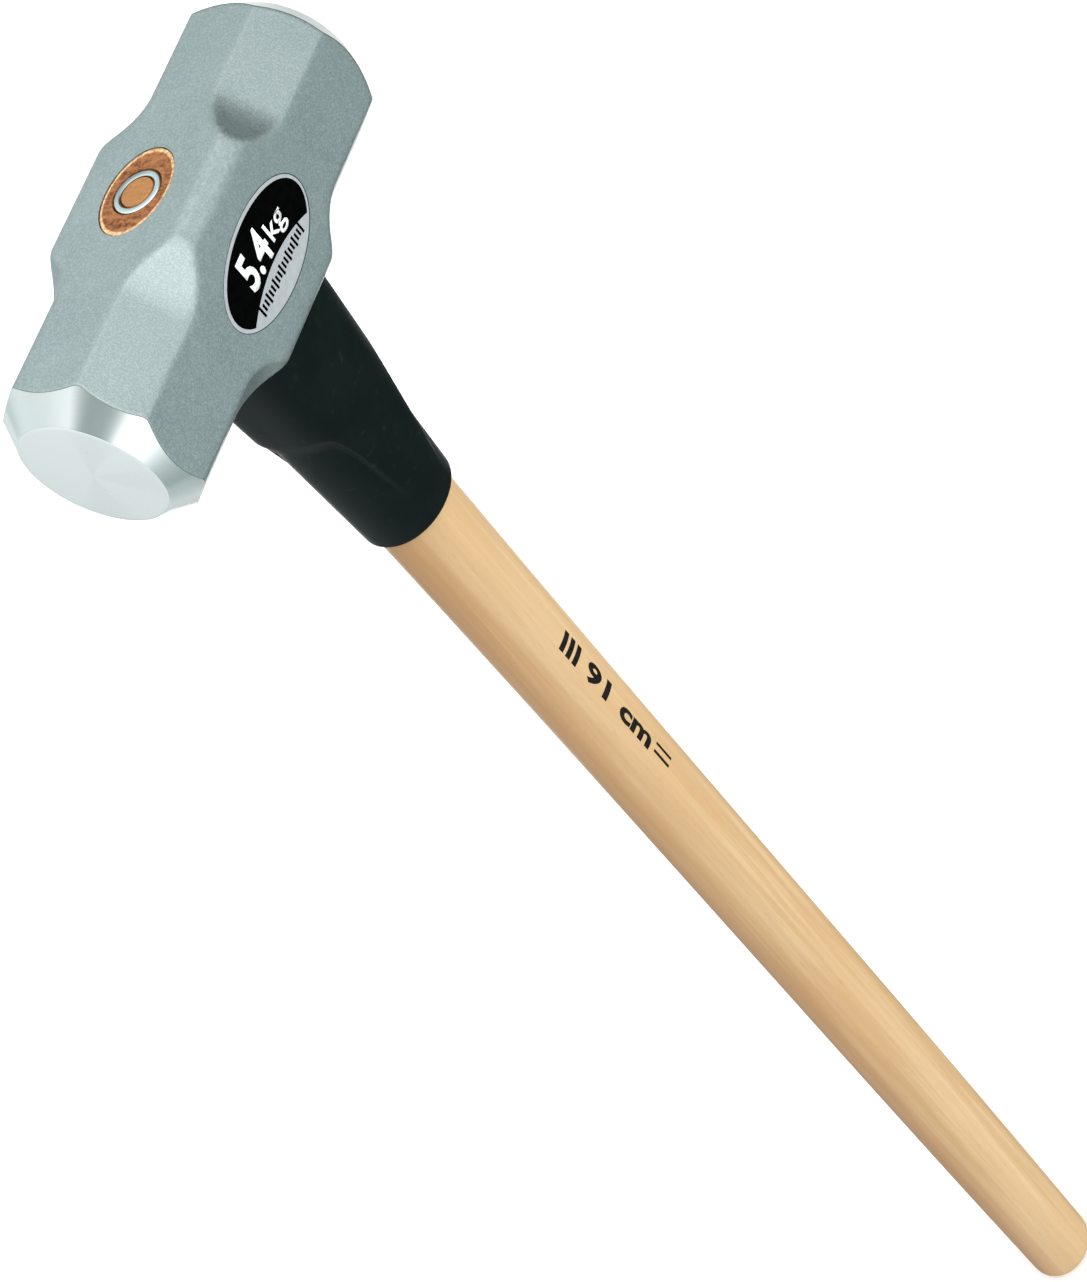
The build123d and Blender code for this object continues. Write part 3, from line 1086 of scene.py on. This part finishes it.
def mark_bars():
    """Plain bars above and below the figure, flat, as points and faces."""
    points = []
    faces = []
    for along, across, length, height in HANDLE_BARS:
        start = len(points)
        for side_x, side_y in ((-1, -1), (1, -1), (1, 1), (-1, 1)):
            x = (along + side_x * length / 2) * MM
            y = (across + side_y * height / 2) * MM
            points.append((x, y, 0.0))
        faces.append((start, start + 1, start + 2, start + 3))
    return points, faces


def build_handle_mark():
    """A plain length figure between plain bars, printed in black on the front of the handle."""
    ink = print_look("handle_ink", (0.006, 0.0055, 0.005), (0.012, 0.0105, 0.009), 0.45, 0.08)
    figure = text_mesh(HANDLE_WORDS, HANDLE_WORDS_WEIGHT)
    fit_to(figure, *[corner * MM for corner in HANDLE_FIGURE])
    bars = bpy.data.meshes.new("handle_mark_bars")
    points, faces = mark_bars()
    bars.from_pydata(points, [], faces)
    pieces = []
    for name, mesh in (("handle_mark_figure", figure), ("handle_mark_bars", bars)):
        thicken(mesh, INK_THICKNESS)
        wrap_on_handle(mesh, HANDLE_MARK_HEIGHT)
        mesh.materials.append(ink.material)
        pieces.append(add_object(name, mesh))
    return pieces


# ======================= stage =======================


def build_floor():
    """A plain pale floor under the butt of the handle."""
    look = Look("floor_paper")
    cloud = look.noise(look.place, 1.5, detail=2.0)
    colour = look.blend(cloud, (0.93, 0.93, 0.93), (0.95, 0.95, 0.95))
    look.set(Base_Color=colour, Roughness=0.9, Specular_IOR_Level=0.1)
    corners = [(x * FLOOR_REACH, y * FLOOR_REACH, 0) for x, y in ((-1, -1), (1, -1), (1, 1), (-1, 1))]
    mesh = bpy.data.meshes.new("floor")
    mesh.from_pydata(corners, [], [(0, 1, 2, 3)])
    mesh.materials.append(look.material)
    floor = add_object("floor", mesh)
    floor.location.z = -FLOOR_GAP
    floor.visible_diffuse = False
    floor.visible_glossy = False


def room_level(tree, side, start, low, high, shape="LINEAR"):
    """A level that runs from low to high as the view turns towards one side of the room."""
    direction = tree.nodes.new("ShaderNodeTexCoord").outputs["Generated"]
    facing = tree.nodes.new("ShaderNodeVectorMath")
    facing.operation = "DOT_PRODUCT"
    tree.links.new(direction, facing.inputs[0])
    facing.inputs[1].default_value = Vector(side).normalized()
    level = tree.nodes.new("ShaderNodeMapRange")
    level.interpolation_type = shape
    tree.links.new(facing.outputs["Value"], level.inputs["Value"])
    level.inputs["From Min"].default_value = start
    level.inputs["To Min"].default_value = low
    level.inputs["To Max"].default_value = high
    return level.outputs["Result"]


def build_room():
    """A soft room that shades evenly from a dark side to a bright side, with a dark flag beside it."""
    world = bpy.data.worlds.new("room")
    world.use_nodes = True
    tree = world.node_tree
    brightness = room_level(tree, BRIGHT_SIDE, -1.0, ROOM_DARKEST, ROOM_BRIGHTEST)
    flag_edge = math.cos(math.radians(FLAG_SPREAD))
    flag = room_level(tree, FLAG_SIDE, flag_edge, 1.0, FLAG_SHADE, "SMOOTHSTEP")
    strength = tree.nodes.new("ShaderNodeMath")
    strength.operation = "MULTIPLY"
    tree.links.new(brightness, strength.inputs[0])
    tree.links.new(flag, strength.inputs[1])
    tint = tree.nodes.new("ShaderNodeMix")
    tint.data_type = "RGBA"
    tree.links.new(room_level(tree, BRIGHT_SIDE, -1.0, 0.0, 1.0), tint.inputs["Factor"])
    tint.inputs[6].default_value = (*ROOM_DARK_TINT, 1.0)
    tint.inputs[7].default_value = (*ROOM_BRIGHT_TINT, 1.0)
    background = tree.nodes["Background"]
    tree.links.new(tint.outputs[2], background.inputs["Color"])
    tree.links.new(strength.outputs[0], background.inputs["Strength"])
    bpy.context.scene.world = world


def aim(lamp, direction):
    """Turns a lamp to shine from a direction."""
    lamp.rotation_euler = (-Vector(direction)).to_track_quat("-Z", "Y").to_euler()


def build_lamps():
    """A broad key on the right for the wood, and dim low cards for the steel to reflect."""
    sun = bpy.data.lights.new("key", "SUN")
    sun.energy = KEY_STRENGTH
    sun.angle = math.radians(KEY_SPREAD)
    key = add_object("key", sun)
    key.visible_glossy = False
    aim(key, KEY_DIRECTION)
    for direction, distance, size, power in CARDS:
        area = bpy.data.lights.new("card", "AREA")
        area.size = size
        area.energy = power
        card = add_object("card", area)
        card.location = Vector((0, 0, HEAD_MIDDLE)) + Vector(direction) * distance
        card.visible_camera = False
        card.visible_diffuse = False
        aim(card, direction)


def build_camera():
    azimuth = math.radians(CAMERA_AZIMUTH)
    elevation = math.radians(CAMERA_ELEVATION)
    level = math.cos(elevation)
    back = Vector((math.sin(azimuth) * level, -math.cos(azimuth) * level, math.sin(elevation)))
    data = bpy.data.cameras.new("camera")
    data.lens = CAMERA_LENS
    data.sensor_width = 36.0
    camera = add_object("camera", data)
    camera.location = LOOK_AT + back * CAMERA_DISTANCE
    level_view = (-back).to_track_quat("-Z", "Y")
    roll = Euler((0, 0, math.radians(-CAMERA_UP_TURN))).to_quaternion()
    camera.rotation_mode = "QUATERNION"
    camera.rotation_quaternion = level_view @ roll
    bpy.context.scene.camera = camera


# ======================= assembly =======================


def place(piece, slot, *nodes):
    """Rides a piece on the hammer and hides the CAD nodes that it stands for. The slot argument is not
    used.
    """
    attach(piece, "root")
    if nodes:
        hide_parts(*nodes)


head = build_head()
cut_eye(head)
place(head, "head_steel", "head")
place(build_handle(), "handle_wood", "handle")
place(build_ring(), "wedge_steel", "ring_wedge")
place(build_sleeve(), "guard_rubber", "overstrike_guard")

plate, *prints = build_label()
place(plate, "label_vinyl", "weight_label")
for layer in prints:
    place(layer, "label_vinyl")
for mark in build_handle_mark():
    place(mark, "handle_wood")

build_floor()
build_room()
build_lamps()
build_camera()
bpy.context.scene.view_settings.view_transform = "Standard"
